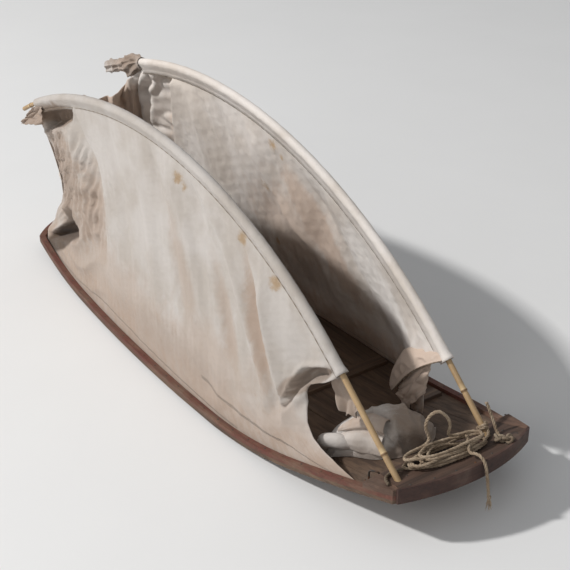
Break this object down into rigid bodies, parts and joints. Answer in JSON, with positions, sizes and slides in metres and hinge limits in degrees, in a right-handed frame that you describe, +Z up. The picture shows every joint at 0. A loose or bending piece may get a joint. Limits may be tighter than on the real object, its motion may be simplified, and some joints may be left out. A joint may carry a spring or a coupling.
{
  "type": "canvas-sided dog sled",
  "caption": "Flat boat-shaped dog sled with bent planks, an edge rail, canvas sides hung from arched bamboo canes, and a hauling rope coiled on the bow deck.",
  "frame": {"origin": "centre of the base of the sled's bounding box, under the runner soles, without the rope", "axes": "+X towards the bow and the towing rope, +Y to port, +Z up"},
  "size_m": [1.764, 0.524, 0.6308],
  "materials": {
    "hull_wood": "weathered dark brown planks",
    "rail_wood": "old red-brown paint worn to the wood",
    "deck_wood": "bare dark weathered wood",
    "runner_wood": "scraped wood",
    "bamboo": "straw-coloured bamboo, satin",
    "canvas": "cream cotton canvas, stained beige",
    "rope": "laid natural-fibre rope, matt",
    "iron": "dark forged wire"
  },
  "bodies": {
    "root": {"plank_outer_starboard": "hull_wood", "plank_inner_starboard": "hull_wood", "plank_centre": "hull_wood", "plank_inner_port": "hull_wood", "plank_outer_port": "hull_wood", "batten_1": "hull_wood", "batten_2": "hull_wood", "batten_3": "hull_wood", "batten_4": "hull_wood", "batten_5": "hull_wood", "deck_beam": "hull_wood", "runner_starboard": "runner_wood", "runner_centre": "runner_wood", "runner_port": "runner_wood", "rail_starboard": "rail_wood", "rail_port": "rail_wood", "rail_stern": "rail_wood", "rail_bow": "rail_wood", "bow_nosing": "rail_wood", "deck_plank": "deck_wood", "deck_cheek_starboard": "deck_wood", "deck_cheek_port": "deck_wood", "cane_starboard": "bamboo", "cane_port": "bamboo", "sleeve_starboard": "canvas", "sleeve_port": "canvas", "wall_starboard": "canvas", "wall_port": "canvas", "stern_panel": "canvas", "front_panel": "canvas", "tip_wrap": "canvas", "staple": "iron", "rope_coil": "rope", "rope_loop": "rope", "rope_tail": "rope", "rope_lead": "rope", "rope_end": "rope", "rope_lashing": "rope", "rope_knot": "rope"}
  },
  "joints": []
}
